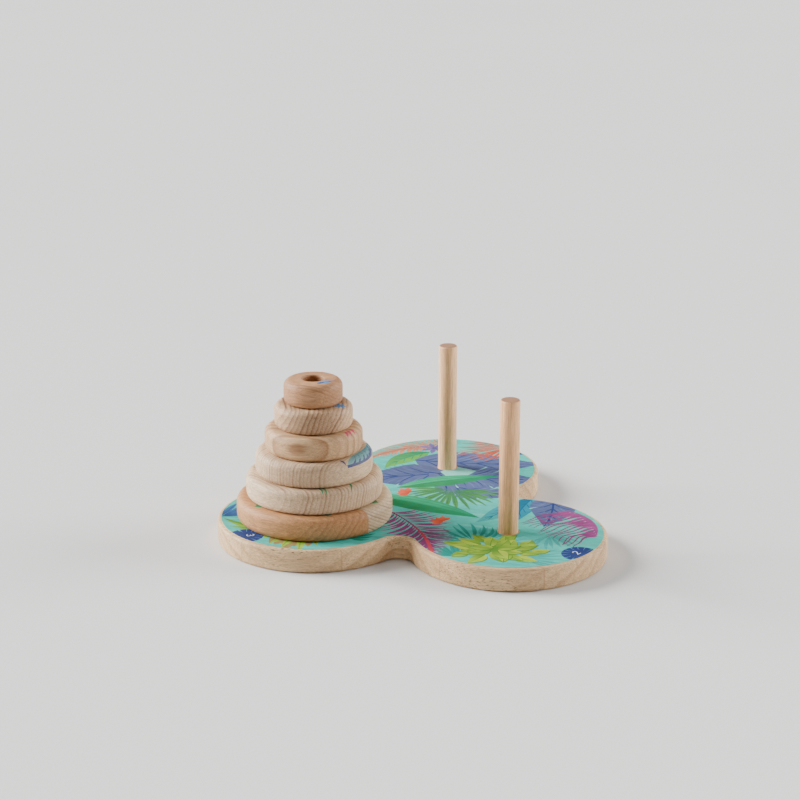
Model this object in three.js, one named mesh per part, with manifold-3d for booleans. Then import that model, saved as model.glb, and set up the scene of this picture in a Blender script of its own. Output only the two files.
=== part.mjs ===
// A tower of hanoi puzzle: a three-lobed wooden board with a printed picture on top,
// a dowel peg in the middle of each lobe, and six wooden discs stacked on the left peg.
// Millimetres, +Z up. The origin is the centre of the board's underside, and +Y points
// from there towards the rear peg.

import * as THREE from 'three';
import { mergeVertices } from 'three/addons/utils/BufferGeometryUtils.js';
import Module from 'manifold-3d';

const wasm = await Module();
wasm.setup();

// ---- driving dimensions -------------------------------------------------------------

const BOARD_THICKNESS = 12;
const BOARD_EDGE_ROUND = 1.5;
const PEG_CIRCLE_RADIUS = 58.5; // from the board's centre to each peg
const LOBE_RADIUS = 50; // each lobe is round about its peg
const NOTCH_RADIUS = 8; // the concave corner between two lobes

const SHEET_THICKNESS = 0.25;
const SHEET_MARGIN = 2; // bare wood left around the picture
const SHEET_HOLE_RADIUS = 5.6;

const PEG_RADIUS = 5;
const PEG_TOP = 82; // above the surface that the board stands on
const PEG_TOP_ROUND = 1;
const PEG_FOOT_CHAMFER = 0.8;
const HOLE_RADIUS = 5.1;
const HOLE_FLOOR = 3; // wood left under a peg

const DISC_DIAMETERS = [80, 70, 60, 50, 40, 30];
const DISC_THICKNESS = 12;
const DISC_TOP_ROUND = 4;
const DISC_FOOT_ROUND = { across: 1.5, up: 3.4 };
const BORE_RADIUS = 5.5;
const BORE_MOUTH_ROUND = 0.9;

const REST_GAP = 0.25; // between pieces that stand on each other

const LOBE_ANGLES = { rear: 90, left: 210, right: 330 };
const STACK_LOBE = 'left';

const LOBE_STEPS = 44;
const NOTCH_STEPS = 10;
const TURNED_STEPS = 48;

// ---- outlines -----------------------------------------------------------------------

const radians = (degrees) => THREE.MathUtils.degToRad(degrees);

function polar(radius, degrees) {
  const angle = radians(degrees);
  return new THREE.Vector2(radius * Math.cos(angle), radius * Math.sin(angle));
}

// Points along an elliptical arc, both ends included. Angles are in degrees.
function arc(centre, across, up, from, to, steps) {
  return Array.from({ length: steps + 1 }, (_, i) => {
    const angle = radians(from + ((to - from) * i) / steps);
    return new THREE.Vector2(centre.x + across * Math.cos(angle), centre.y + up * Math.sin(angle));
  });
}

const lobeCentre = (degrees) => polar(PEG_CIRCLE_RADIUS, degrees);

// The board's outline, counter-clockwise: three lobes joined by concave notches.
// inset draws the same outline that far inside it.
function trefoil(inset) {
  const halfSpacing = PEG_CIRCLE_RADIUS * Math.sin(radians(60));
  const notchOffset = Math.sqrt((LOBE_RADIUS + NOTCH_RADIUS) ** 2 - halfSpacing ** 2);
  const notchCentreRadius = PEG_CIRCLE_RADIUS * Math.cos(radians(60)) + notchOffset;
  // Each lobe's arc reaches this far either side of its own direction.
  const sweep = 150 - THREE.MathUtils.radToDeg(Math.atan2(notchOffset, halfSpacing));
  const lobeRadius = LOBE_RADIUS - inset;
  const notchRadius = NOTCH_RADIUS + inset;

  return Object.values(LOBE_ANGLES).flatMap((lobe) => {
    const lobeArc = arc(lobeCentre(lobe), lobeRadius, lobeRadius, lobe - sweep, lobe + sweep, LOBE_STEPS);
    const notchFrom = lobe + sweep - 180;
    const notchTo = lobe + 120 - sweep - 180;
    const notchCentre = polar(notchCentreRadius, lobe + 60);
    const notchArc = arc(notchCentre, notchRadius, notchRadius, notchFrom, notchTo, NOTCH_STEPS);
    return [...lobeArc, ...notchArc.slice(1, -1)];
  });
}

// ---- solids -------------------------------------------------------------------------

// Turns a profile of (radius, height) points, listed counter-clockwise, about +Z.
function turned(profile) {
  const closed = [...profile, profile[0]];
  return new THREE.LatheGeometry(closed, TURNED_STEPS).rotateX(radians(90));
}

function solidFrom(geometry) {
  const bare = geometry.clone();
  bare.deleteAttribute('normal');
  bare.deleteAttribute('uv');
  const merged = mergeVertices(bare);
  const vertProperties = Float32Array.from(merged.attributes.position.array);
  const triVerts = Uint32Array.from(merged.index.array);
  return new wasm.Manifold(new wasm.Mesh({ numProp: 3, vertProperties, triVerts }));
}

function geometryFrom(solid) {
  const { vertProperties, triVerts } = solid.getMesh();
  const geometry = new THREE.BufferGeometry();
  geometry.setAttribute('position', new THREE.BufferAttribute(vertProperties, 3));
  geometry.setIndex(new THREE.BufferAttribute(triVerts, 1));
  geometry.computeVertexNormals();
  return geometry;
}

// ---- sub-parts ----------------------------------------------------------------------

function boardGeometry() {
  const slab = new THREE.ExtrudeGeometry(new THREE.Shape(trefoil(0)), {
    depth: BOARD_THICKNESS - 2 * BOARD_EDGE_ROUND,
    bevelThickness: BOARD_EDGE_ROUND,
    bevelSize: BOARD_EDGE_ROUND,
    bevelOffset: -BOARD_EDGE_ROUND,
    bevelSegments: 3,
  }).translate(0, 0, BOARD_EDGE_ROUND);

  const drillLength = BOARD_THICKNESS; // stands proud of the top, so the hole is open
  let board = solidFrom(slab);
  for (const angle of Object.values(LOBE_ANGLES)) {
    const { x, y } = lobeCentre(angle);
    const drill = new THREE.CylinderGeometry(HOLE_RADIUS, HOLE_RADIUS, drillLength, TURNED_STEPS)
      .rotateX(radians(90))
      .translate(x, y, HOLE_FLOOR + drillLength / 2);
    board = board.subtract(solidFrom(drill));
  }
  return geometryFrom(board);
}

function sheetGeometry() {
  const shape = new THREE.Shape(trefoil(SHEET_MARGIN));
  for (const angle of Object.values(LOBE_ANGLES)) {
    const rim = arc(lobeCentre(angle), SHEET_HOLE_RADIUS, SHEET_HOLE_RADIUS, 0, 360, TURNED_STEPS);
    shape.holes.push(new THREE.Path(rim.slice(0, -1)));
  }
  return new THREE.ExtrudeGeometry(shape, { depth: SHEET_THICKNESS, bevelEnabled: false });
}

function pegGeometry(length) {
  const roundCentre = new THREE.Vector2(PEG_RADIUS - PEG_TOP_ROUND, length - PEG_TOP_ROUND);
  return turned([
    new THREE.Vector2(0, 0),
    new THREE.Vector2(PEG_RADIUS - PEG_FOOT_CHAMFER, 0),
    new THREE.Vector2(PEG_RADIUS, PEG_FOOT_CHAMFER),
    ...arc(roundCentre, PEG_TOP_ROUND, PEG_TOP_ROUND, 0, 90, 3),
    new THREE.Vector2(0, length),
  ]);
}

function discGeometry(radius) {
  const foot = DISC_FOOT_ROUND;
  const footCentre = new THREE.Vector2(radius - foot.across, foot.up);
  const topCentre = new THREE.Vector2(radius - DISC_TOP_ROUND, DISC_THICKNESS - DISC_TOP_ROUND);
  const mouthRadius = BORE_RADIUS + BORE_MOUTH_ROUND;
  const upperMouth = new THREE.Vector2(mouthRadius, DISC_THICKNESS - BORE_MOUTH_ROUND);
  const lowerMouth = new THREE.Vector2(mouthRadius, BORE_MOUTH_ROUND);
  return turned([
    ...arc(footCentre, foot.across, foot.up, 270, 360, 3),
    ...arc(topCentre, DISC_TOP_ROUND, DISC_TOP_ROUND, 0, 90, 4),
    ...arc(upperMouth, BORE_MOUTH_ROUND, BORE_MOUTH_ROUND, 90, 180, 2),
    ...arc(lowerMouth, BORE_MOUTH_ROUND, BORE_MOUTH_ROUND, 180, 270, 2),
  ]);
}

// ---- assembly -----------------------------------------------------------------------

function wood(color) {
  return new THREE.MeshStandardMaterial({ color, roughness: 0.6, metalness: 0 });
}

const print = new THREE.MeshStandardMaterial({ color: 0x3f9c92, roughness: 0.5, metalness: 0 });

const group = new THREE.Group();

function place(name, geometry, material, x, y, z) {
  const mesh = new THREE.Mesh(geometry, material);
  mesh.name = name;
  mesh.position.set(x, y, z);
  group.add(mesh);
}

place('base_board', boardGeometry(), wood(0xc9a27c), 0, 0, 0);
place('printed_sheet', sheetGeometry(), print, 0, 0, BOARD_THICKNESS);

const pegFoot = HOLE_FLOOR + REST_GAP;
for (const [side, angle] of Object.entries(LOBE_ANGLES)) {
  const { x, y } = lobeCentre(angle);
  place(`peg_${side}`, pegGeometry(PEG_TOP - pegFoot), wood(0xd8b48c), x, y, pegFoot);
}

const discWoods = [0xc98f70, 0xd9bd98, 0xdcc29c, 0xcfa57c, 0xc9a07a, 0xb98a68];
const stack = lobeCentre(LOBE_ANGLES[STACK_LOBE]);
const stackFoot = BOARD_THICKNESS + SHEET_THICKNESS + REST_GAP;
DISC_DIAMETERS.forEach((diameter, i) => {
  const z = stackFoot + i * (DISC_THICKNESS + REST_GAP);
  place(`disc_${diameter}_mm`, discGeometry(diameter / 2), wood(discWoods[i]), stack.x, stack.y, z);
});

export default group;
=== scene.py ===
"""The looks of a wooden tower of hanoi puzzle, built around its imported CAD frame.

Shapes and artwork are worked out in millimetres and turned into metres as each mesh is made.
"""

import math
import random
from dataclasses import dataclass

import bpy
from mathutils import Matrix, Vector, geometry


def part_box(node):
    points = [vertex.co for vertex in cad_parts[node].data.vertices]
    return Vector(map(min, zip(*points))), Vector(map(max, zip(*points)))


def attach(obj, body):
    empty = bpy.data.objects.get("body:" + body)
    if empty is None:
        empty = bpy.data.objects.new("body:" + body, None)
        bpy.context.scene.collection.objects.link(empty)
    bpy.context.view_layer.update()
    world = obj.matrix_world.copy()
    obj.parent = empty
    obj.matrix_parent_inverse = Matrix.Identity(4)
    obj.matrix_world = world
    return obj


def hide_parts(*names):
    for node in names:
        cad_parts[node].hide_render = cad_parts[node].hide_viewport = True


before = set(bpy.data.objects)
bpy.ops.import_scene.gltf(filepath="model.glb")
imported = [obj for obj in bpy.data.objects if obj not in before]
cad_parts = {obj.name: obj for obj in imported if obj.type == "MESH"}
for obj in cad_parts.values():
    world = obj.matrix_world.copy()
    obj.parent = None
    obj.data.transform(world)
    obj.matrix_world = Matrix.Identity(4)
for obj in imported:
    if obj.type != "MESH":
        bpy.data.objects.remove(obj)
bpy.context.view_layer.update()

MM = 0.001
UP = Vector((0, 0, 1))

# ---- sizes, from the frame ----

LOBE_ANGLES = {"rear": 90, "left": 210, "right": 330}
DISC_NODES = ["disc_80_mm", "disc_70_mm", "disc_60_mm", "disc_50_mm", "disc_40_mm", "disc_30_mm"]


def box_mm(node):
    """A CAD node's lowest and highest corners, in millimetres."""
    low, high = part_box(node)
    return low / MM, high / MM


def centre_mm(node):
    low, high = box_mm(node)
    return (low + high) / 2


def plan_mm(node):
    """A round node's lowest and highest corners, and its centre and radius seen from above."""
    low, high = box_mm(node)
    middle = (low + high) / 2
    return low, high, middle.xy, (high.x - low.x) / 2


board_high = box_mm("base_board")[1]
sheet_low, sheet_high = box_mm("printed_sheet")
PEG_CIRCLE_RADIUS = centre_mm("peg_rear").y
LOBE_RADIUS = board_high.y - PEG_CIRCLE_RADIUS
SHEET_MARGIN = board_high.y - sheet_high.y

# Roundings that a box doesn't give, the same as the CAD model's.
NOTCH_RADIUS = 8
BOARD_EDGE_ROUND = 1.5
PEG_HOLE_RADIUS = 5.1
PEG_HOLE_FLOOR = 3
SHEET_HOLE_RADIUS = 5.6
PEG_TOP_ROUND = 1
PEG_FOOT_ROUND = 0.8
DISC_TOP_ROUND = 4
DISC_FOOT_ROUND = (1.5, 3.4)
BORE_RADIUS = 5.5
BORE_MOUTH_ROUND = 0.9

# The direction from the puzzle to the camera, in degrees counter-clockwise from +X.
VIEW_BEARING = -77.5

# ---- plane geometry ----


def at(x, y):
    return Vector((x, y))


def polar(radius, degrees):
    """The point at that distance from the origin and that angle from +X."""
    angle = math.radians(degrees)
    return at(radius * math.cos(angle), radius * math.sin(angle))


def arc(centre, across, up, start, end, steps):
    """Points of an elliptical arc, both ends included, with angles in degrees."""
    points = []
    for i in range(steps + 1):
        angle = math.radians(start + (end - start) * i / steps)
        points.append(centre + at(across * math.cos(angle), up * math.sin(angle)))
    return points


def circle(centre, radius, steps):
    return arc(centre, radius, radius, 0, 360, steps)[:-1]


def lobe_centre(name):
    return polar(PEG_CIRCLE_RADIUS, LOBE_ANGLES[name])


def front(angle, rise=0.0):
    """The direction that many degrees to the right of straight towards the camera."""
    return Vector((*polar(1, VIEW_BEARING + angle), rise))


def spot(angle, distance):
    """A point of a disc's top, with the angle counted as front() counts it."""
    return front(angle).xy * distance


def trefoil(inset, lobe_steps=120, notch_steps=24):
    """The board's outline, counter-clockwise, drawn that far inside its edge."""
    half_spacing = PEG_CIRCLE_RADIUS * math.sin(math.radians(60))
    notch_offset = math.sqrt((LOBE_RADIUS + NOTCH_RADIUS) ** 2 - half_spacing**2)
    notch_distance = PEG_CIRCLE_RADIUS * math.cos(math.radians(60)) + notch_offset
    sweep = 150 - math.degrees(math.atan2(notch_offset, half_spacing))
    lobe_radius = LOBE_RADIUS - inset
    notch_radius = NOTCH_RADIUS + inset
    points = []
    for name, angle in LOBE_ANGLES.items():
        points += arc(lobe_centre(name), lobe_radius, lobe_radius, angle - sweep, angle + sweep, lobe_steps)
        notch = polar(notch_distance, angle + 60)
        start, end = angle + sweep - 180, angle - sweep - 60
        points += arc(notch, notch_radius, notch_radius, start, end, notch_steps)[1:-1]
    return points


# ---- meshes ----

NO_INK = (0, 0, 0, 0)
ROUND = circle(at(0, 0), 1, 96)


def new_object(name, data):
    made = bpy.data.objects.new(name, data)
    bpy.context.scene.collection.objects.link(made)
    return made


class Surface:
    """Gathers points, faces and each face corner's ink, then makes one mesh object of them."""

    def __init__(self):
        self.points = []
        self.normals = []
        self.faces = []
        self.inks = []

    def point(self, position, normal):
        self.points.append(position)
        self.normals.append(normal)
        return len(self.points) - 1

    def face(self, corners, inks=None):
        self.faces.append(corners)
        self.inks.append(inks or [NO_INK] * len(corners))

    def row(self, loop, z, normals):
        return [self.point(Vector((p.x, p.y, z)), n) for p, n in zip(loop, normals)]

    def bridge(self, lower, upper):
        """Quads between two rows of points that run counter-clockwise, facing outwards."""
        for i in range(len(lower)):
            j = (i + 1) % len(lower)
            self.face([lower[i], lower[j], upper[j], upper[i]])

    def cap(self, outer, holes=(), up=True):
        """Flat triangles between an outer row of points and the rows of its holes."""
        loops = [[self.points[i] for i in row] for row in (outer, *holes)]
        ids = [i for row in (outer, *holes) for i in row]
        for triangle in geometry.tessellate_polygon(loops):
            a, b, c = (ids[i] for i in triangle)
            facing = (self.points[b] - self.points[a]).cross(self.points[c] - self.points[a]).z
            self.face([a, b, c] if (facing > 0) == up else [a, c, b])

    def object(self, name, smooth=True):
        mesh = bpy.data.meshes.new(name)
        mesh.from_pydata([p * MM for p in self.points], [], self.faces)
        ink = mesh.color_attributes.new("ink", "FLOAT_COLOR", "CORNER")
        ink.data.foreach_set("color", [value for face in self.inks for corner in face for value in corner])
        if smooth:
            mesh.shade_smooth()
            mesh.normals_split_custom_set_from_vertices(self.normals)
        mesh.validate()
        return new_object(name, mesh)


def patch(surface, outer, holes, rings, shapes, lift):
    """Fills the region inside outer and outside holes, split along rings and painted shapes.

    Each face takes the ink of the topmost shape that covers it. lift(point) gives a point's
    height and normal. Returns the boundary points, as (plane point, index) pairs.
    """
    plane, edges, faces = [], [], []

    def loop(points):
        first = len(plane)
        plane.extend(points)
        return list(range(first, len(plane)))

    for outline in [outer, *holes]:
        faces.append(loop(outline))
    for ring in rings:
        ids = loop(ring)
        edges += zip(ids, ids[1:] + ids[:1])
    first_shape = len(faces)
    for shape in shapes:
        faces.append(loop(shape.outline))

    flat, _, triangles, _, _, sources = geometry.delaunay_2d_cdt(plane, edges, faces, 0, 1e-4, True)
    placed, uses = {}, {}
    for triangle, covering in zip(triangles, sources):
        if 0 not in covering or any(0 < f < first_shape for f in covering):
            continue
        top = max(covering)
        shape = shapes[top - first_shape] if top >= first_shape else None
        for corner in triangle:
            if corner not in placed:
                height, normal = lift(flat[corner])
                position = Vector((flat[corner].x, flat[corner].y, height))
                placed[corner] = surface.point(position, normal)
        inks = [shape.ink(flat[c]) if shape else NO_INK for c in triangle]
        corners = [placed[c] for c in triangle]
        surface.face(corners, inks)
        for a, b in zip(triangle, [*triangle[1:], triangle[0]]):
            key = (min(a, b), max(a, b))
            uses[key] = uses.get(key, 0) + 1
    rim = {c for edge, count in uses.items() if count == 1 for c in edge}
    return [(flat[c].copy(), placed[c]) for c in rim]


def turned_loop(rim, centre):
    """The boundary points about a centre, counter-clockwise, as directions and indices."""
    rim = sorted(rim, key=lambda item: math.atan2(item[0].y - centre.y, item[0].x - centre.x))
    directions = [(p - centre).normalized() for p, _ in rim]
    return directions, [index for _, index in rim]


def profile_arc(centre, across, up, start, end, steps, hollow=False):
    """Points of a turned profile along an arc, as (radius, height, outward part, upward part).

    The last two are the surface's normal, which points to the arc's centre if it is hollow.
    """
    found = []
    for i in range(steps + 1):
        angle = math.radians(start + (end - start) * i / steps)
        normal = Vector((math.cos(angle) / across, math.sin(angle) / up)).normalized()
        if hollow:
            normal = -normal
        found.append((centre[0] + across * math.cos(angle), centre[1] + up * math.sin(angle), *normal))
    return found


def turn(surface, start, directions, centre, profile, inwards=False):
    """Turns a profile, walked downwards, about the centre. start is a row that is already there."""
    rows = [start] if start else []
    for radius, height, out, up in profile:
        loop = [centre + d * radius for d in directions]
        normals = [Vector((d.x * out, d.y * out, up)) for d in directions]
        rows.append(surface.row(loop, height, normals))
    for upper, lower in zip(rows, rows[1:]):
        if inwards:
            surface.bridge(upper, lower)
        else:
            surface.bridge(lower, upper)
    return rows[0], rows[-1]


# ---- artwork ----


def tint(code):
    """Linear red, green and blue from a web colour such as "3DB07C"."""
    values = [int(code[i : i + 2], 16) / 255 for i in (0, 2, 4)]
    return Vector([v / 12.92 if v <= 0.04045 else ((v + 0.055) / 1.055) ** 2.4 for v in values])


def tints(codes):
    """One tint for each web colour in a list with spaces between."""
    return [tint(code) for code in codes.split()]


class Shape:
    """A painted area with a tint that can run from its root to its tip."""

    def __init__(self, outline, root_tint, tip_tint=None, root=None, tip=None):
        self.outline = tidy(outline)
        self.root_tint = root_tint
        self.tip_tint = tip_tint
        self.root = root
        self.tip = tip

    def moved(self, offset):
        """The same shape, shifted by offset."""
        ends = (None, None) if self.tip is None else (self.root + offset, self.tip + offset)
        return Shape([p + offset for p in self.outline], self.root_tint, self.tip_tint, *ends)

    def ink(self, point):
        """The colour at a point, as red, green, blue and full cover."""
        colour = self.root_tint
        if self.tip_tint is not None:
            along = self.tip - self.root
            share = min(max((point - self.root).dot(along) / along.length_squared, 0), 1)
            colour = self.root_tint.lerp(self.tip_tint, share)
        return (*colour, 1)


def tidy(outline):
    """The outline counter-clockwise, without points that repeat the one before."""
    kept = []
    for p in outline:
        if not kept or (p - kept[-1]).length > 1e-3:
            kept.append(p)
    if (kept[0] - kept[-1]).length <= 1e-3:
        kept.pop()
    doubled_area = sum(a.cross(b) for a, b in zip(kept, [*kept[1:], kept[0]]))
    return kept if doubled_area > 0 else kept[::-1]


def left_of(along):
    """The unit vector to the left of a direction."""
    return at(-along.y, along.x).normalized()


def spine(root, tip, bend=0, steps=12):
    """A line from root to tip that bows to its left by bend."""
    along = tip - root
    side = left_of(along)
    return [root + along * t + side * bend * 4 * t * (1 - t) for t in (i / steps for i in range(steps + 1))]


def sides(line):
    """The unit vector to the left at each point of a line."""
    last = len(line) - 1
    return [left_of(line[min(i + 1, last)] - line[max(i - 1, 0)]) for i in range(last + 1)]


def strip(line, left, right):
    """The outline of a band along a line. left and right are its half widths as functions of 0 to 1."""
    last = len(line) - 1
    across = sides(line)
    one = [p + s * left(i / last) for i, (p, s) in enumerate(zip(line, across))]
    other = [p - s * right(i / last) for i, (p, s) in enumerate(zip(line, across))]
    return one + other[::-1]


def lens(width, power=1.0):
    """A half width that swells and closes again. A power below 1 puts the swell nearer the root."""
    return lambda t: width * math.sin(math.pi * min(t, 1) ** power)


def taper(width, end=0.0):
    """A half width that runs evenly from width to end."""
    return lambda t: width * (1 - t) + end * t


def nothing(_):
    """The half width of a side that is left out."""
    return 0.0


def on_line(line, t):
    """The point that far along a line, from 0 to 1, and the direction to its left."""
    place = min(max(t, 0), 1) * (len(line) - 1)
    i = min(int(place), len(line) - 2)
    return line[i].lerp(line[i + 1], place - i), left_of(line[i + 1] - line[i])


# Leaves turned by this many degrees, one after the other, never line up.
GOLDEN_TURN = 360 * 0.618


class Painter:
    """Draws generic leaves and flowers as shapes, later ones on top of earlier ones."""

    def __init__(self, seed):
        self.shapes = []
        self.random = random.Random(seed)

    def vary(self, colour, amount=0.08):
        return colour * (1 + self.random.uniform(-amount, amount))

    def add(self, outline, *paint):
        """Paints an outline. paint is one colour, or two and the points they run between."""
        if len(tidy(outline)) >= 3:
            self.shapes.append(Shape(outline, *paint))

    def band(self, line, half, *paint):
        """Paints a strip with the same half width on both sides."""
        self.add(strip(line, half, half), *paint)

    def brush(self, line, width, colour, power=0.8):
        self.band(line, lens(width, power), self.vary(colour))

    def blade(self, root, tip, width, bend, dark, light, under, streaks=5):
        """A long strap leaf with streaks. One half runs from light to dark, the other from under to dark."""
        line = spine(root, tip, bend, 18)
        swell = lens(width, 0.85)
        self.add(strip(line, swell, nothing), light, dark, root, tip)
        self.add(strip(line, nothing, swell), under, dark, root, tip)
        for side, colours in ((1, (dark, light)), (-1, (under, dark))):
            for i in range(streaks):
                share = (i + 0.6) / (streaks + 0.4)
                start = self.random.uniform(0.04, 0.2)
                end = self.random.uniform(0.75, 0.96)
                path = []
                for j in range(10):
                    t = start + (end - start) * j / 9
                    point, left = on_line(line, t)
                    path.append(point + left * side * swell(t) * share)
                self.brush(path, width * 0.05, colours[i % 2].lerp(colours[(i + 1) % 2], 0.25))
        self.band(line, taper(0.3, 0.08), dark * 0.7)

    def broad(self, root, tip, width, bend, body, shade, light, vein, pairs=5, slits=2):
        """A wide leaf with dark curved veins, soft strokes between them and slits in its margin."""
        line = spine(root, tip, bend, 24)
        swell = lens(width, 0.68)
        self.band(line, swell, body, shade, root, tip)
        for side in (1, -1):
            for i in range(pairs * 5):
                t = 0.02 + 0.8 * i / (pairs * 5)
                start, _ = on_line(line, t)
                end, left = on_line(line, t + 0.2)
                target = end + left * swell(t + 0.2) * 0.95 * side
                if i % 5 == 2:
                    self.brush(spine(start, target, -1.5 * side, 8), width * 0.01 + 0.32, vein, 0.55)
                else:
                    colour = body.lerp(light if i % 2 else shade, self.random.uniform(0.1, 0.45))
                    share = self.random.uniform(0.15, 0.45)
                    stroke = spine(start.lerp(target, share), target, -1.2 * side, 6)
                    self.brush(stroke, width * 0.035, colour)
            for i in range(slits):
                t = 0.3 + 0.6 * (i + self.random.uniform(0, 0.6)) / slits
                edge, left = on_line(line, t)
                outer = edge + left * swell(t) * 1.03 * side
                inner = outer.lerp(on_line(line, t - 0.16)[0], self.random.uniform(0.2, 0.45))
                self.band(spine(outer, inner, 0.3, 4), taper(0.55), AQUA_PALE)
        self.band(line, taper(0.75, 0.2), vein)

    def frond(self, line, reach, pairs, width, stem, inner, outer, lean=(70, 25), droop=2.0):
        """Thin leaflets either side of a stem, longest in the middle."""
        for i in range(pairs):
            t = 0.04 + 0.94 * i / (pairs - 1)
            root, left = on_line(line, t)
            forward = at(left.y, -left.x)
            angle = math.radians(lean[0] + (lean[1] - lean[0]) * t + self.random.uniform(-4, 4))
            fullness = 0.35 + 0.65 * math.sin(math.pi * min(t + 0.12, 1) ** 0.8)
            length = reach * fullness * self.random.uniform(0.88, 1.08)
            for side in (1, -1):
                tip = root + (forward * math.cos(angle) + left * math.sin(angle) * side) * length
                leaflet = spine(root, tip, -droop * side, 8)
                swell = lens(width * self.random.uniform(0.8, 1.15), 0.75)
                self.band(leaflet, swell, self.vary(inner), self.vary(outer), root, tip)
        self.band(line, taper(width * 0.75, 0.2), stem)

    def fan(self, centre, towards, spread, fingers, length, width, dark, light, bend=1.0):
        """Fingers that open from one point, as on a palm or an agave."""
        for i in range(fingers):
            share = i / (fingers - 1) - 0.5
            angle = towards + spread * share + self.random.uniform(-1, 1) * spread / fingers / 4
            reach = length * (1 - 0.35 * abs(share) ** 1.5) * self.random.uniform(0.8, 1.08)
            root = centre + polar(length * 0.04, angle)
            tip = centre + polar(reach, angle)
            line = spine(root, tip, bend * share * 4, 9)
            swell = lens(width * self.random.uniform(0.85, 1.15), 1.15)
            self.band(line, swell, self.vary(dark), self.vary(light), root, tip)
            self.add(strip(line, nothing, lens(width * 0.45, 1.15)), self.vary(dark.lerp(light, 0.2)))

    def plume(self, starts, tips, width, colour, light, bend):
        """A feather whose strands leave one mass along their starts and hang apart at their tips."""
        self.band(starts, lens(width * 2), colour)
        for i, (start, tip) in enumerate(zip(starts, tips)):
            end = tip + polar(self.random.uniform(0, 2.2), self.random.uniform(0, 360))
            line = spine(start, end, bend * (0.7 + 0.6 * i / len(starts)), 18)
            line = [p + s * 0.9 * math.sin(j * 0.5 + i) for j, (p, s) in enumerate(zip(line, sides(line)))]
            thick = width * self.random.uniform(0.85, 1.1)

            def half(t):
                swell = 0.8 + 1.3 * max(0, 1 - 2.4 * t)
                return thick * swell * (1 - t) ** 0.4 * min(1, 0.3 + 9 * t)

            self.band(line, half, self.vary(colour), self.vary(light), start, end)
            thin = lens(thick * 0.25, 0.6)
            self.band([p + at(0.2, -0.4) for p in line], thin, self.vary(light, 0.2))

    def thicket(self, centre, across, up, leaves, length, width, dark, light, vein):
        """Pointed two-tone leaves that spread outwards from an oval area."""
        self.add(arc(centre, across * 0.3, up * 0.3, 0, 360, 20)[:-1], dark)
        for i in range(leaves):
            angle = GOLDEN_TURN * i
            share = 1 - i / leaves
            way = polar(1, angle)
            root = centre + at(way.x * across, way.y * up) * share * 0.7
            size = length * self.random.uniform(0.8, 1.15)
            tip = root + polar(size, angle + self.random.uniform(-50, 50))
            half = width * self.random.uniform(0.85, 1.1)
            line = spine(root, tip, self.random.uniform(-0.8, 0.8))
            swell = lens(half, 0.75)
            shades = (dark, light) if i % 3 else (light, dark)
            self.band([p + at(0.5, -0.7) for p in line], swell, vein)
            self.add(strip(line, swell, nothing), self.vary(shades[0]), self.vary(light), root, tip)
            self.add(strip(line, nothing, swell), self.vary(shades[1]), self.vary(shades[0]), root, tip)
            self.band(line, taper(0.3, 0.05), vein.lerp(dark, 0.3))

    def leaf(self, root, tip, width, dark, light, vein, bend=0.6):
        """A small pointed leaf with one half lighter and a fine midrib."""
        line = spine(root, tip, bend, 10)
        swell = lens(width, 0.75)
        self.band(line, swell, self.vary(dark), self.vary(light), root, tip)
        self.add(strip(line, lens(width * 0.9, 0.75), nothing), self.vary(light), light, root, tip)
        for i in range(4):
            t = 0.3 + 0.17 * i
            start, _ = on_line(line, 0.12 + 0.17 * i)
            end, left = on_line(line, t)
            for side in (1, -1):
                reach = swell(t) * 0.7 * side
                self.brush(spine(start, end + left * reach, 0, 4), width * 0.05, vein)
        self.band(line, taper(width * 0.09, 0.03), vein)

    def flower(self, centre, towards, spread, petals, length, width, root_tint, tip_tint):
        for i in range(petals):
            angle = towards + spread * (i / (petals - 1) - 0.5)
            tip = centre + polar(length * self.random.uniform(0.9, 1.08), angle)
            line = spine(centre, tip, 0.25, 7)
            swell = lens(width, 1.25)
            self.band(line, swell, self.vary(root_tint), self.vary(tip_tint), centre, tip)

    def star(self, centre, petals, length, width, colour, heart):
        for i in range(petals):
            tip = centre + polar(length, 360 * (i + 0.3) / petals)
            line = spine(centre, tip, 0.1, 6)
            self.band(line, lens(width, 1.1), self.vary(colour, 0.15))
        self.add(circle(centre, width * 0.9, 12), heart)

    def heart_leaf(self, centre, towards, size, dark, light, vein):
        """A heart-shaped leaf whose point lies in the direction towards."""
        turn = Matrix.Rotation(math.radians(towards + 90), 2)

        def placed(x, y):
            return centre + turn @ at(x, y) * size / 17

        def outline(share):
            points = []
            for i in range(33):
                a = 2 * math.pi * i / 32
                y = 13 * math.cos(a) - 5 * math.cos(2 * a) - 2 * math.cos(3 * a) - math.cos(4 * a)
                points.append(placed(16 * math.sin(a) ** 3 * share, y * share))
            return points

        top, point = placed(0, 5), placed(0, -17)
        self.add(outline(1), dark, light, top, point)
        self.add(outline(0.94)[:17], dark.lerp(light, 0.6), light, top, point)
        for x, y in ((10, 5), (11, 0), (8, -6)):
            for side in (1, -1):
                self.brush(spine(placed(0, y - 3), placed(x * side, y + 1), 0.2, 5), size * 0.018, vein)
        self.band(spine(top, point, 0.3, 8), taper(size * 0.03, 0.03), vein)

    def round_leaf(self, centre, radius, number, facing):
        """A dark leaf with a lobe's number, pale rays on its inner side and slits on its outer side."""
        rim = centre + polar(radius, facing)
        self.add(circle(centre, radius, 40), INDIGO, INDIGO.lerp(INDIGO_PALE, 0.25), centre, rim)
        for i in range(9):
            angle = facing + 180 + 24 * (i - 4)
            inner, outer = centre + polar(radius * 0.55, angle), centre + polar(radius * 1.03, angle + 4)
            self.band(spine(inner, outer, 0.2, 5), taper(0.04, 0.22), INDIGO_PALE)
        for i in range(5):
            angle = facing + 38 * (i - 2)
            outer, inner = centre + polar(radius * 1.03, angle), centre + polar(radius * 0.7, angle)
            self.band([outer, inner], taper(0.5), AQUA)
        self.digit(centre - polar(radius * 0.25, facing), radius * 0.42, number, facing)

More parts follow.
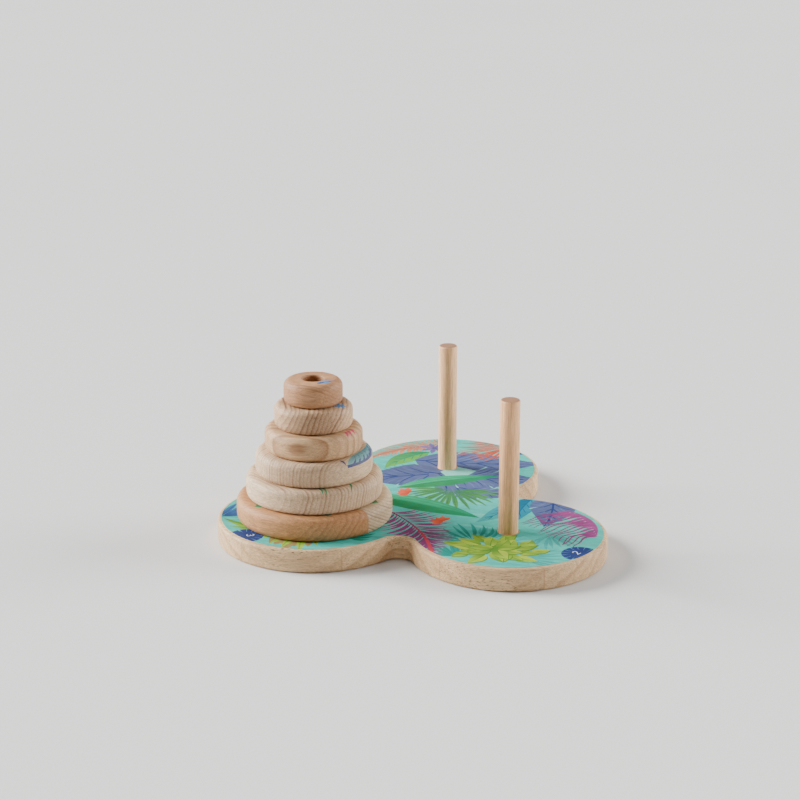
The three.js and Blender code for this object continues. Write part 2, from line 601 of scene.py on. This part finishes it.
    def digit(self, centre, height, number, facing):
        """A plain drawn numeral that is upright to someone who looks from the direction facing."""
        turn = Matrix.Rotation(math.radians(facing + 90), 2)
        stroke = {
            1: [at(-0.2, 0.28), at(0.04, 0.5), at(0.04, -0.5)],
            2: [*arc(at(0, 0.22), 0.27, 0.28, 165, -30, 9), at(-0.28, -0.48), at(0.3, -0.48)],
            3: [
                *arc(at(-0.02, 0.25), 0.26, 0.25, 150, -90, 9),
                *arc(at(-0.02, -0.23), 0.29, 0.27, 90, -150, 9),
            ],
        }[number]
        line = [centre + turn @ p * height for p in stroke]
        pen = height * 0.055
        for a, b in zip(line, line[1:]):
            self.band([a, b], taper(pen, pen), CHALK)
        for p in line:
            self.add(circle(p, pen, 10), CHALK)


AQUA, AQUA_DEEP, AQUA_PALE = tints("44B2A4 3A9690 78BEB2")
EMERALD, EMERALD_LIGHT = tints("0E7F56 2FA472")
GRASS, GRASS_LIGHT = tints("2B7640 5A9C44")
PALM, PALM_LIGHT = tints("2A6640 4E8C48")
LIME_DEEP, LIME, LIME_LIGHT = tints("46762A 56882C 9CB438")
TUFT, TUFT_LIGHT = tints("107A70 249484")
TEAL, TEAL_LIGHT = tints("0E5674 1A7C92")
VIOLET, VIOLET_DEEP, VIOLET_PALE = tints("525E84 465178 6E7A9C")
INDIGO, INDIGO_PALE = tints("28366A 5A86B0")
MAGENTA, MAGENTA_LIGHT, STEM_RED = tints("6E285A 8C4276 B03848")
CORAL, CORAL_LIGHT = tints("B23C26 CC6044")
SALMON, SALMON_LIGHT = tints("A8604A C08668")
SKY, FROST, LILAC, PINK, SAND, CHALK = tints("3E78A8 6A9C9C 6B5690 BE2C5C 8A7848 D4DADA")

VIOLETS = VIOLET, VIOLET_DEEP, VIOLET_PALE, INDIGO
REDS = STEM_RED, MAGENTA, MAGENTA_LIGHT


def ground(painter):
    """The aqua ground, with wide soft strokes and faint leaves a little lighter or darker."""
    painter.add([at(-130, -130), at(130, -130), at(130, 130), at(-130, 130)], AQUA)
    for _ in range(90):
        start = at(painter.random.uniform(-110, 100), painter.random.uniform(-90, 110))
        end = start + polar(painter.random.uniform(14, 34), painter.random.uniform(-12, 22))
        share = painter.random.uniform(0, 0.5)
        colour = AQUA.lerp(painter.random.choice([AQUA_DEEP, AQUA_PALE]), share)
        stroke = spine(start, end, painter.random.uniform(-2, 2), 8)
        painter.brush(stroke, painter.random.uniform(0.8, 2.4), colour)
    faint = AQUA.lerp(AQUA_DEEP, 0.8)
    fans = (22, -54, 100), (44, -44, 60), (66, -62, 20), (-20, 40, 150), (2, 4, 200), (72, -30, -60)
    for x, y, towards in fans:
        painter.fan(at(x, y), towards, 110, 9, 20, 0.9, faint, AQUA_DEEP)


def paint_rear_lobe(painter):
    """Broad violet leaves, with a salmon frond and a coral fan at the edge."""
    painter.frond(spine(at(-6, 99), at(-46, 62), -5, 24), 14, 26, 0.75, SALMON, SALMON, SALMON_LIGHT)
    painter.leaf(at(-15, 81), at(-33, 49), 7, EMERALD, GRASS_LIGHT, EMERALD, -3)
    painter.broad(at(6, 54), at(-46, 32), 18, 4, *VIOLETS)
    painter.broad(at(-20, 66), at(50, 76), 18, -3, *VIOLETS, pairs=6)
    painter.broad(at(0, 34), at(46, 22), 14, -3, *VIOLETS)
    painter.broad(at(-8, 48), at(54, 50), 18, -3, *VIOLETS, pairs=6)
    painter.add([at(-2, 50), at(3, 61), at(17, 56), at(13, 46), at(4, 42)], AQUA_PALE)
    painter.star(at(-14, 88), 7, 9, 1.6, LILAC, VIOLET_DEEP)
    painter.round_leaf(at(30, 93), 7.5, 1, LOBE_ANGLES["rear"])
    painter.fan(at(25, 98), 215, 95, 12, 31, 0.95, CORAL, SALMON)


def paint_middle(painter):
    """A palm leaf, two long green blades and two coral flowers."""
    painter.fan(at(10, 24), -82, 165, 17, 31, 1.3, PALM, PALM_LIGHT)
    painter.blade(at(-19, 20), at(31, 51), 7.5, 2, EMERALD, EMERALD_LIGHT, GRASS)
    painter.blade(at(-34, 6), at(33, -14), 9, 2, EMERALD, EMERALD_LIGHT, GRASS)
    painter.flower(at(-10.5, 14), 172, 120, 5, 8, 2.0, CORAL, CORAL_LIGHT)
    painter.flower(at(16, -23.5), 150, 150, 6, 7.5, 1.6, CORAL, CORAL_LIGHT)


def paint_notch(painter):
    """Dark tufts and a magenta frond beside the front notch."""
    painter.fan(at(36, -46), 125, 120, 10, 27, 1.15, TUFT, TUFT_LIGHT, 2.5)
    painter.fan(at(32, -68), 120, 90, 8, 17, 1.2, TUFT, TUFT_LIGHT)
    stem = spine(at(-15, -15), at(20, -68), 5, 26)
    painter.frond(stem, 21, 26, 0.9, *REDS, (82, 46), 3)
    painter.band(stem, taper(0.4, 1.1), MAGENTA, STEM_RED, stem[8], stem[16])


def paint_right_lobe(painter):
    """Teal and violet leaves, a magenta plume and a lime thicket."""
    painter.leaf(at(47, 13), at(32, -21), 6, TEAL_LIGHT, AQUA_DEEP, TEAL, 2)
    painter.leaf(at(55, 23), at(52, -16), 6.5, TEAL, TEAL_LIGHT, TEAL, -2)
    painter.broad(at(64, 27), at(67, -19), 12, 2, *VIOLETS, slits=1)
    starts = arc(lobe_centre("right"), 44.5, 44.5, 54, 6, 15)
    painter.plume(starts, spine(at(55, -14), at(86, -45), -3, 15), 0.85, MAGENTA_LIGHT, MAGENTA, -2.5)
    painter.thicket(at(49, -54), 25, 17, 27, 12.5, 3.7, LIME, LIME_LIGHT, LIME_DEEP)
    painter.round_leaf(at(90.5, -51), 9.2, 2, LOBE_ANGLES["right"])


def paint_left_lobe(painter):
    """Leaves that show round the foot of the stack, and those it hides."""
    painter.broad(at(-48, -10), at(-94, -22), 12, 2, EMERALD, PALM, EMERALD_LIGHT, PALM)
    painter.broad(at(-40, -34), at(-84, -48), 12, -3, *VIOLETS)
    painter.frond(spine(at(-40, -36), at(-26, 6), 4, 18), 12, 18, 0.8, *REDS)
    painter.fan(at(-97, -44), 78, 60, 6, 24, 1.8, INDIGO, SKY)
    painter.fan(at(-52, -56), -92, 60, 5, 24, 3.4, SAND, SAND)
    painter.fan(at(-50, -52), -88, 110, 6, 29, 1.9, LIME, LIME_LIGHT)
    painter.blade(at(-64, -60), at(-95, -45), 2.6, 1, LIME, LIME_LIGHT, LIME, 2)
    painter.blade(at(-62, -62), at(-88, -55), 2.6, -1, GRASS_LIGHT, LIME_LIGHT, LIME, 2)
    painter.fan(at(-26, -56), 60, 120, 8, 15, 1.2, EMERALD, TUFT)
    painter.round_leaf(at(-76, -66), 8.8, 3, LOBE_ANGLES["left"])


def board_artwork():
    """The shapes of the printed sheet's picture, lowest first."""
    painter = Painter(11)
    ground(painter)
    paint_rear_lobe(painter)
    paint_left_lobe(painter)
    paint_notch(painter)
    paint_middle(painter)
    paint_right_lobe(painter)
    return painter.shapes


def ring_stroke(painter, angle, inner, outer, slant, width, colour):
    """A short brush stroke across a disc's rim, at an angle counted as front() counts it."""
    line = spine(spot(angle, inner), spot(angle + slant, outer), 0.3, 6)
    painter.brush(line, width, colour)


def disc_artwork(index):
    """A small generic motif for each disc, largest first."""
    painter = Painter(20 + index)
    if index == 0:
        hearts = (-52, 31, 6), (66, 31, 6), (14, 30.5, 6), (150, 24, 10), (-130, 26, 9)
        for angle, distance, size in hearts:
            painter.heart_leaf(spot(angle, distance), VIEW_BEARING + angle, size, GRASS, EMERALD, PALM)
    elif index == 1:
        for angle, slant in ((8, 3), (12, 2), (43, -7)):
            ring_stroke(painter, angle, 28, 34.6, slant, 0.6, EMERALD)
        for angle in (26, 120, -150):
            painter.flower(spot(angle, 22), VIEW_BEARING + angle + 180, 150, 7, 8, 1.4, CORAL, CORAL_LIGHT)
        painter.star(spot(-100, 24), 9, 5, 0.9, SKY, INDIGO)
    elif index == 2:
        painter.broad(spot(38, 30), spot(108, 28), 6, -6, FROST, TEAL_LIGHT, FROST, INDIGO, 7, 0)
        painter.leaf(spot(-120, 14), spot(-170, 24), 3.4, SKY, TEAL, INDIGO)
        painter.brush(spine(spot(34, 25), spot(37, 29.5), 0, 5), 0.7, INDIGO)
    elif index == 3:
        for angle, inner in ((53, 20.5), (60, 19.5), (67, 19.5)):
            ring_stroke(painter, angle, inner, 24.6, -5, 0.8, PINK)
        painter.frond(spine(spot(100, 10), spot(150, 21), 2, 14), 5, 11, 0.4, PINK, PINK, MAGENTA_LIGHT)
        painter.star(spot(-110, 16), 8, 4.2, 0.9, SKY, INDIGO)
    elif index == 4:
        painter.star(spot(62, 15.5), 7, 3.4, 0.7, SKY, INDIGO_PALE)
        painter.star(spot(170, 13), 6, 3.8, 1.1, PINK, CORAL)
        painter.star(spot(-120, 12), 8, 2.8, 0.6, SKY, INDIGO)
    else:
        root, tip = spot(20, 9.0), spot(66, 11.6)
        painter.leaf(root, tip, 2.4, SKY, INDIGO_PALE, INDIGO, 0.3)
        painter.brush(spine(spot(14, 9.6), spot(40, 9.2), -0.2, 5), 1.0, INDIGO)
        painter.brush(spine(spot(44, 9.6), spot(74, 12.6), 0, 5), 0.6, INDIGO)
    return painter.shapes


# ---- materials ----


class Graph:
    """The node tree of a material or a world. Most calls add a node and return its output."""

    def __init__(self, owner):
        self.owner = owner
        owner.use_nodes = True
        self.tree = owner.node_tree

    def put(self, socket, value):
        """Links an output to a socket, or sets the socket to a plain value."""
        if isinstance(value, bpy.types.NodeSocket):
            self.tree.links.new(value, socket)
        elif isinstance(value, Vector) and len(value) == 3 and len(socket.default_value) == 4:
            socket.default_value = (*value, 1)
        else:
            socket.default_value = value

    def node(self, kind, inputs, **settings):
        made = self.tree.nodes.new(kind)
        for name, value in settings.items():
            setattr(made, name, value)
        for key, value in inputs.items():
            self.put(made.inputs[key], value)
        return made

    def math(self, operation, *values, clamp=False):
        made = self.node("ShaderNodeMath", dict(enumerate(values)), operation=operation, use_clamp=clamp)
        return made.outputs[0]

    def vector(self, operation, *values):
        """A vector operation. A dot product or a length comes out as a number."""
        made = self.node("ShaderNodeVectorMath", dict(enumerate(values)), operation=operation)
        return made.outputs["Value" if operation in ("DOT_PRODUCT", "LENGTH") else "Vector"]

    def scaled(self, vector, factor):
        made = self.node("ShaderNodeVectorMath", {0: vector, "Scale": factor}, operation="SCALE")
        return made.outputs[0]

    def stretched(self, vector, scale):
        return self.vector("MULTIPLY", vector, scale)

    def noise(self, vector, scale, detail=2.0, roughness=0.5):
        """Noise. scale is one number, or a tuple with one for each axis."""
        if isinstance(scale, tuple):
            vector, scale = self.stretched(vector, scale), 1.0
        inputs = {"Vector": vector, "Scale": scale, "Detail": detail, "Roughness": roughness}
        return self.node("ShaderNodeTexNoise", inputs).outputs["Fac"]

    def random(self, value):
        """A node that gives each whole number its own Value and Color."""
        return self.node("ShaderNodeTexWhiteNoise", {"W": value}, noise_dimensions="1D")

    def between(self, value, low, high, to_low=0.0, to_high=1.0):
        """Maps low..high to to_low..to_high, smoothly and within those limits."""
        inputs = {"Value": value, "From Min": low, "From Max": high, "To Min": to_low, "To Max": to_high}
        return self.node("ShaderNodeMapRange", inputs, interpolation_type="SMOOTHSTEP").outputs["Result"]

    def curve(self, value, stops):
        """A grey ramp through (position, level) stops."""
        made = self.node("ShaderNodeValToRGB", {"Fac": value})
        elements = made.color_ramp.elements
        while len(elements) < len(stops):
            elements.new(0.5)
        for element, (position, level) in zip(elements, stops):
            element.position = position
            element.color = (level, level, level, 1)
        return made.outputs["Color"]

    def mix(self, share, one, other):
        made = self.node("ShaderNodeMix", {}, data_type="RGBA")
        self.put(made.inputs[0], share)
        self.put(made.inputs[6], one)
        self.put(made.inputs[7], other)
        return made.outputs[2]

    def place(self):
        """The point on the object, in millimetres."""
        coordinates = self.node("ShaderNodeTexCoord", {})
        return self.scaled(coordinates.outputs["Object"], 1 / MM)

    def surface_normal(self):
        return self.node("ShaderNodeTexCoord", {}).outputs["Normal"]

    def ink(self):
        """The picture's colours, with the area it covers as Alpha."""
        return self.node("ShaderNodeAttribute", {}, attribute_name="ink", attribute_type="GEOMETRY")

    def finish(self, colour, roughness, height, depth, **fixed):
        """Wires a material's shader up. depth is the relief's height in millimetres."""
        sockets = self.tree.nodes["Principled BSDF"].inputs
        self.put(sockets["Base Color"], colour)
        self.put(sockets["Roughness"], roughness)
        bump = self.node("ShaderNodeBump", {"Height": height, "Distance": depth * MM, "Strength": 1.0})
        self.put(sockets["Normal"], bump.outputs[0])
        for name, value in fixed.items():
            sockets[name.replace("_", " ")].default_value = value
        return self.owner


@dataclass
class Timber:
    """How a piece was sawn from its log: colours, grain direction, where the pith lay and ring width.

    end is how far its end grain goes to end_tint, or to dark if that is left out. wobble bends the
    rings, and flush is how much of them is left where they lie flush with the surface. staves =
    (direction across them, width, offset) splits the piece into glued boards.
    """

    light: str
    dark: str
    fibre: Vector
    pith: Vector
    ring: float
    contrast: float
    end: float = 0.3
    wobble: float = 0.4
    pores: float = 0.3
    mottle: float = 0.3
    flush: float = 0.25
    staves: tuple = None
    end_tint: str = None


PORE_TINT = tint("54331D")
PAPER_TINT = tint("D8C49C")
# How dark a ring is from its inner edge (0) to its outer edge (1): pale early wood, then late wood.
LATE_WOOD = [(0.0, 0.12), (0.3, 0.08), (0.68, 0.7), (0.86, 1.0), (1.0, 0.12)]


def grain(g, place, timber):
    """Rings about the pith, fibres, pores and darker end grain. Returns colour, fibres and pores."""
    light, dark, end_tint = tint(timber.light), tint(timber.dark), tint(timber.end_tint or timber.dark)
    fibre = timber.fibre.normalized()
    turn_to_log = fibre.to_track_quat("Z", "Y").to_euler()

    def in_log(vector, **inputs):
        """A point or direction in the log's own axes, with the fibres along Z."""
        inputs |= {"Vector": vector, "Rotation": turn_to_log}
        return g.node("ShaderNodeMapping", inputs, vector_type="TEXTURE").outputs[0]

    log = in_log(place, Location=timber.pith)
    wander = g.math("SUBTRACT", g.noise(log, (0.03, 0.03, 0.01)), 0.5)
    radius = g.vector("LENGTH", g.stretched(log, (1, 1, 0)))
    radius = g.math("ADD", radius, g.math("MULTIPLY", wander, 24.0 * timber.wobble))
    ripple = g.math("SUBTRACT", g.noise(log, (0.3, 0.3, 0.03)), 0.5)
    rings = g.math("ADD", g.math("DIVIDE", radius, timber.ring), g.math("MULTIPLY", ripple, timber.wobble))
    strength = g.between(g.random(g.math("FLOOR", rings)).outputs["Value"], 0.0, 1.0, 0.35, 1.0)
    late = g.curve(g.math("FRACT", rings), LATE_WOOD)
    outwards = g.vector("NORMALIZE", g.stretched(log, (1, 1, 0)))
    flush = g.math("ABSOLUTE", g.vector("DOT_PRODUCT", in_log(g.surface_normal()), outwards))
    strength = g.math("MULTIPLY", strength, g.between(flush, 0.55, 0.98, 1.0, timber.flush))
    figure = g.math("MULTIPLY", g.math("MULTIPLY", late, strength), timber.contrast, clamp=True)

    fibres = g.noise(log, (2.0, 2.0, 0.09), 5.0, 0.7)
    streaks = g.noise(log, (0.7, 0.7, 0.03), 3.0, 0.6)
    fine = g.between(g.noise(log, (3.0, 3.0, 0.45), 1.0), 0.6, 0.7)
    coarse = g.between(g.noise(log, (1.3, 1.3, 0.3), 1.0), 0.65, 0.73)
    crowding = g.between(g.noise(log, (0.04, 0.04, 0.02), 1.0), 0.42, 0.6, 0.25, 1.0)
    flecks = g.math("MAXIMUM", fine, coarse)
    pores = g.math("MULTIPLY", g.math("MULTIPLY", flecks, crowding), timber.pores)
    cloud = g.between(g.noise(place, 0.035), 0.35, 0.7)

    colour = g.mix(figure, light, dark)
    colour = g.mix(g.math("MULTIPLY", cloud, timber.mottle), colour, dark)
    colour = g.scaled(colour, g.between(fibres, 0.3, 0.7, 0.72, 1.22))
    colour = g.scaled(colour, g.between(streaks, 0.3, 0.7, 0.88, 1.1))
    facing = g.vector("DOT_PRODUCT", g.surface_normal(), fibre)
    end_grain = g.between(g.math("ABSOLUTE", facing), 0.45, 1.0, 0.0, timber.end)
    colour = g.mix(end_grain, colour, end_tint)
    colour = g.mix(pores, colour, PORE_TINT)
    return colour, fibres, pores


def wood(name, timber, inked=False, beside=None):
    """Sanded wood as a solid texture. beside = (direction, distance, timber) glues a second wood on."""
    g = Graph(bpy.data.materials.new(name))
    place = g.place()
    tone, seam = 1.0, None
    if timber.staves:
        across, width, offset = timber.staves
        share = g.math("DIVIDE", g.vector("DOT_PRODUCT", place, across), width)
        share = g.math("ADD", share, offset)
        chance = g.random(g.math("FLOOR", share))
        push = g.scaled(g.vector("SUBTRACT", chance.outputs["Color"], Vector((0.5, 0.5, 0.5))), 16.0)
        tone = g.between(chance.outputs["Value"], 0.0, 1.0, 0.86, 1.06)
        seam = g.math("MULTIPLY", g.math("PINGPONG", share, 0.5), width)
        colour, fibres, pores = grain(g, g.vector("ADD", place, push), timber)
    else:
        colour, fibres, pores = grain(g, place, timber)
    if beside:
        across, distance, other = beside
        past = g.math("SUBTRACT", g.vector("DOT_PRODUCT", place, across), distance)
        other_colour, _, _ = grain(g, place, other)
        colour = g.mix(g.math("GREATER_THAN", past, 0.0), colour, other_colour)
        seam = g.math("ABSOLUTE", past)
    colour = g.scaled(colour, tone)
    if seam is not None:
        colour = g.mix(g.between(seam, 0.05, 0.3, 0.4, 0.0), colour, tint(timber.dark))
    if inked:
        ink = g.ink()
        paint = g.scaled(ink.outputs["Color"], g.between(fibres, 0.25, 0.75, 0.9, 1.08))
        colour = g.mix(g.math("MULTIPLY", ink.outputs["Alpha"], 0.94), colour, paint)
    roughness = g.between(fibres, 0.2, 0.8, 0.5, 0.66)
    height = g.math("SUBTRACT", fibres, pores)
    return g.finish(colour, roughness, height, 0.05, Specular_IOR_Level=0.3)


def print_material():
    """Printed gouache: the drawn inks with soft brush variation, and a cream edge."""
    g = Graph(bpy.data.materials.new("leaf_print"))
    place = g.place()
    ink = g.ink()
    wash = g.noise(place, (0.12, 0.3, 0.2), 3.0, 0.6)
    bristle = g.noise(place, (0.5, 2.4, 1.0), 2.0, 0.6)
    paint = g.scaled(ink.outputs["Color"], g.between(wash, 0.3, 0.7, 0.88, 1.1))
    paint = g.scaled(paint, g.between(bristle, 0.3, 0.7, 0.94, 1.05))
    colour = g.mix(ink.outputs["Alpha"], PAPER_TINT, paint)
    roughness = g.between(wash, 0.3, 0.7, 0.6, 0.7)
    return g.finish(colour, roughness, bristle, 0.012, Specular_IOR_Level=0.1)


# ---- pieces ----


def dress(piece, material, node, body):
    """Gives a piece its material and ties it to the frame."""
    piece.data.materials.append(material)
    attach(piece, body)
    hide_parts(node)


def disc_piece(node, shapes):
    """A disc with a softly rounded rim, a bore with rounded mouths and a motif printed on top."""
    low, high, centre, radius = plan_mm(node)
    rounding, lip = DISC_TOP_ROUND, BORE_MOUTH_ROUND
    shoulder = radius - rounding
    mouth = BORE_RADIUS + lip
    steps = 144
    inked_to = 76  # how far round the upper rim's quarter circle the printed part of the top goes

    def lift(point):
        """The height and normal of the rounded top at a point in plan."""
        beyond = (point - centre).length - shoulder
        if beyond <= 0:
            return high.z, UP
        drop = math.sqrt(rounding**2 - beyond**2)
        out = (point - centre).normalized() * beyond
        return high.z - rounding + drop, Vector((out.x, out.y, drop)).normalized()

    def ring(angle):
        return circle(centre, shoulder + rounding * math.sin(math.radians(angle)), steps)

    surface = Surface()
    moved = [shape.moved(centre) for shape in shapes]
    rings = [ring(angle) for angle in range(0, inked_to, 8)]
    rim = patch(surface, ring(inked_to), [circle(centre, mouth, steps)], rings, moved, lift)
    outer = [item for item in rim if (item[0] - centre).length > shoulder]
    inner = [item for item in rim if (item[0] - centre).length <= shoulder]

    across, up = DISC_FOOT_ROUND
    directions, start = turned_loop(outer, centre)
    rim_profile = profile_arc((shoulder, high.z - rounding), rounding, rounding, 7, 0, 1)
    rim_profile += profile_arc((radius - across, low.z + up), across, up, 0, -90, 8)
    _, foot = turn(surface, start, directions, centre, rim_profile)

    directions, start = turned_loop(inner, centre)
    bore = profile_arc((mouth, high.z - lip), lip, lip, 90, 180, 6)[1:]
    bore += profile_arc((mouth, low.z + lip), lip, lip, 180, 270, 6)
    _, lower_mouth = turn(surface, start, directions, centre, bore, inwards=True)
    surface.cap(foot, [lower_mouth], up=False)
    return surface.object(node + "_turned")


def peg_piece(node):
    """A dowel with a softened edge at its top and foot."""
    low, high, centre, radius = plan_mm(node)
    top, foot = PEG_TOP_ROUND, PEG_FOOT_ROUND
    profile = [(radius * 0.4, high.z, 0, 1)]
    profile += profile_arc((radius - top, high.z - top), top, top, 90, 0, 8)
    profile += profile_arc((radius - foot, low.z + foot), foot, foot, 0, -90, 5)
    surface = Surface()
    upper, lower = turn(surface, None, ROUND, centre, profile)
    surface.cap(upper)
    surface.cap(lower, up=False)
    return surface.object(node + "_dowel")


def board_piece():
    """The three-lobed board with rounded edges and a blind hole for each peg."""
    surface = Surface()
    facings = [(a - b).normalized() for a, b in zip(trefoil(0), trefoil(1))]

    def edge_row(inset, height, out, up):
        return surface.row(trefoil(inset), height, [Vector((f.x * out, f.y * out, up)) for f in facings])

    edge = BOARD_EDGE_ROUND
    rounding = profile_arc((0, board_high.z - edge), edge, edge, 90, 0, 7)
    rounding += profile_arc((0, edge), edge, edge, 0, -90, 7)
    rows = [edge_row(edge - reach, height, out, up) for reach, height, out, up in rounding]
    for upper, lower in zip(rows, rows[1:]):
        surface.bridge(lower, upper)

    mouths = []
    mouth, corner = 0.3, 0.5
    for name in LOBE_ANGLES:
        profile = profile_arc((PEG_HOLE_RADIUS + mouth, board_high.z - mouth), mouth, mouth, 90, 180, 4)
        profile += profile_arc(
            (PEG_HOLE_RADIUS - corner, PEG_HOLE_FLOOR + corner), corner, corner, 0, -90, 4, hollow=True
        )
        upper, lower = turn(surface, None, ROUND, lobe_centre(name), profile, inwards=True)
        surface.cap(lower)
        mouths.append(upper)
    surface.cap(rows[0], mouths)
    surface.cap(rows[-1], up=False)
    return surface.object("base_board_wood")


def sheet_piece():
    """The printed sheet, with every leaf of the picture cut into its top face."""
    surface = Surface()
    holes = [circle(lobe_centre(name), SHEET_HOLE_RADIUS, 64) for name in LOBE_ANGLES]
    rim = patch(surface, trefoil(SHEET_MARGIN), holes, [], board_artwork(), lambda p: (sheet_high.z, UP))
    loops = []
    for name in LOBE_ANGLES:
        centre = lobe_centre(name)
        near = [item for item in rim if (item[0] - centre).length < 2 * SHEET_HOLE_RADIUS]
        rim = [item for item in rim if (item[0] - centre).length >= 2 * SHEET_HOLE_RADIUS]
        loops.append((turned_loop(near, centre)[1], True))
    loops.append((turned_loop(rim, at(0, 0))[1], False))
    lowered = []
    for loop, inwards in loops:
        below = [surface.point(surface.points[i] - UP * (sheet_high.z - sheet_low.z), UP) for i in loop]
        surface.bridge(*((loop, below) if inwards else (below, loop)))
        lowered.append(below)
    surface.cap(lowered[-1], lowered[:-1], up=False)
    return surface.object("leaf_print_sheet", smooth=False)


# The largest disc is glued up from two boards. The seam's direction, and how far it lies from the centre.
END_STAVE_SEAM = Vector((0.934, -0.358, 0))
END_STAVE_OFFSET = -7.5


def disc_timber(index):
    """The log that each disc was sawn from, largest disc first."""
    centre = centre_mm(DISC_NODES[index])
    fibre = END_STAVE_SEAM + UP * 0.05
    near_pith = centre + front(-16) * 38.1 + UP
    side_pith = centre + front(90) * 54 - UP * 27
    return [
        Timber("C08C5C", "7E5236", fibre, centre - front(0) * 62 - UP * 50, 2.6, 0.6, mottle=0.25),
        Timber("DCC09C", "90674A", front(40), centre + front(130) * 80 - UP * 22, 1.8, 0.9, 0.15, 0.12),
        Timber("DCC09C", "90674A", front(-30), centre + front(60) * 95 - UP * 4, 1.75, 0.85, 0.15, 0.1),
        Timber("CFAA80", "966A46", front(74, 0.03), near_pith, 4.6, 0.9, 0.2, 0.05, flush=1.0),
        Timber("CEA982", "6A4630", front(6), side_pith, 2.0, 0.95, 0.25, 0.45, pores=0.6),
        Timber("BA8A62", "7A5034", front(82, -0.14), centre + UP * 60 - front(0) * 14, 1.6, 0.5, 0.3, 0.5),
    ][index]


def board_timber():
    """Wide glued staves that run from left to right."""
    staves = (Vector((0, 1, 0)), 41, 0.756)
    fibre, pith = Vector((1, 0.04, 0.01)), Vector((0, -14, -46))
    marks = {"pores": 0.85, "mottle": 0.25, "staves": staves}
    return Timber("F0CC9C", "AC7A50", fibre, pith, 5.0, 0.5, 0.1, 0.35, **marks)


def peg_timber(node):
    """Long straight grain. Each peg has its own tone."""
    light, dark, distance = {
        "peg_rear": ("FAC896", "D49862", 37.0),
        "peg_left": ("F0C092", "C0885A", 39.0),
        "peg_right": ("EEB886", "BA8250", 38.2),
    }[node]
    pith = centre_mm(node) - front(90) * distance
    fibre = Vector((0.01, 0.02, 1))
    marks = {"pores": 0.2, "mottle": 0.15, "flush": 1.0, "end_tint": "8A6650"}
    return Timber(light, dark, fibre, pith, 3.1, 0.25, 0.9, 0.15, **marks)


def make_pieces():
    """The board, its print, the pegs and the discs, each with its material and its place in the frame."""
    dress(board_piece(), wood("board_wood", board_timber()), "base_board", "board")
    dress(sheet_piece(), print_material(), "printed_sheet", "board")
    for name in LOBE_ANGLES:
        node = "peg_" + name
        dress(peg_piece(node), wood(node + "_wood", peg_timber(node)), node, node)
    for index, node in enumerate(DISC_NODES):
        piece = disc_piece(node, disc_artwork(index))
        beside = None
        if index == 0:
            centre = centre_mm(node)
            across = UP.cross(END_STAVE_SEAM)
            pith = centre + front(136) * 42 + UP * 78
            end_stave = Timber("D2BA96", "7C5C44", END_STAVE_SEAM, pith, 1.6, 1.0, 0.2, 0.15)
            beside = (across, across.dot(centre) + END_STAVE_OFFSET, end_stave)
        material = wood(node + "_wood", disc_timber(index), inked=True, beside=beside)
        dress(piece, material, node, node)


# ---- studio ----

HORIZON_LEVEL = 1.25
SKY_LEVEL = 0.05


def soft_sun(name, azimuth, elevation, level, spread):
    """A wide, soft and even light. Azimuth is counted to the right from the camera's side."""
    light = bpy.data.lights.new(name, "SUN")
    light.energy = level * math.pi
    light.angle = math.radians(spread)
    lamp = new_object(name, light)
    away = front(azimuth, math.tan(math.radians(elevation)))
    lamp.location = away
    lamp.rotation_euler = away.to_track_quat("Z", "Y").to_euler()


def make_world():
    """A dim warm sky that brightens to the floor's own level at the horizon."""
    world = bpy.data.worlds.new("studio")
    bpy.context.scene.world = world
    g = Graph(world)
    direction = g.node("ShaderNodeTexCoord", {}).outputs["Generated"]
    height = g.node("ShaderNodeSeparateXYZ", {0: direction}).outputs["Z"]
    sockets = g.tree.nodes["Background"].inputs
    g.put(sockets["Color"], Vector((1, 0.97, 0.93)))
    g.put(sockets["Strength"], g.between(height, 0.06, 0.24, HORIZON_LEVEL, SKY_LEVEL))


def make_studio():
    mesh = bpy.data.meshes.new("floor")
    reach = 12
    corners = [(x * reach, y * reach, 0) for x, y in ((-1, -1), (1, -1), (1, 1), (-1, 1))]
    mesh.from_pydata(corners, [], [(0, 1, 2, 3)])
    floor = new_object("floor", mesh)
    g = Graph(bpy.data.materials.new("floor_paint"))
    cloud = g.noise(g.place(), 0.002)
    grey = g.scaled(Vector((0.74, 0.735, 0.725)), g.between(cloud, 0.3, 0.7, 0.99, 1.01))
    mesh.materials.append(g.finish(grey, 0.7, cloud, 0.001, Specular_IOR_Level=0.2))

    make_world()
    soft_sun("key", -106, 25, 3.2, 35)
    soft_sun("rim", 102, 20, 1.25, 35)
    soft_sun("top", 180, 75, 0.3, 60)


def make_camera():
    """A long lens at the photograph's viewing angle, turned to leave the puzzle a little low and right."""
    azimuth, elevation, distance = math.radians(12.46), math.radians(21.08), 1058
    pan, tilt = math.radians(1.17030), math.radians(3.53545)
    target = Vector((7.4, 3.2, 0))
    level = math.cos(elevation)
    away = Vector((math.sin(azimuth) * level, -math.cos(azimuth) * level, math.sin(elevation)))
    camera = new_object("camera", bpy.data.cameras.new("camera"))
    camera.location = (target + away * distance) * MM
    camera.rotation_euler = (math.pi / 2 - elevation + tilt, 0, azimuth + pan)
    camera.data.sensor_width = 36
    camera.data.lens = 90.315
    camera.data.clip_start = 0.05
    camera.data.clip_end = 60
    bpy.context.scene.camera = camera


make_camera()
make_studio()
make_pieces()
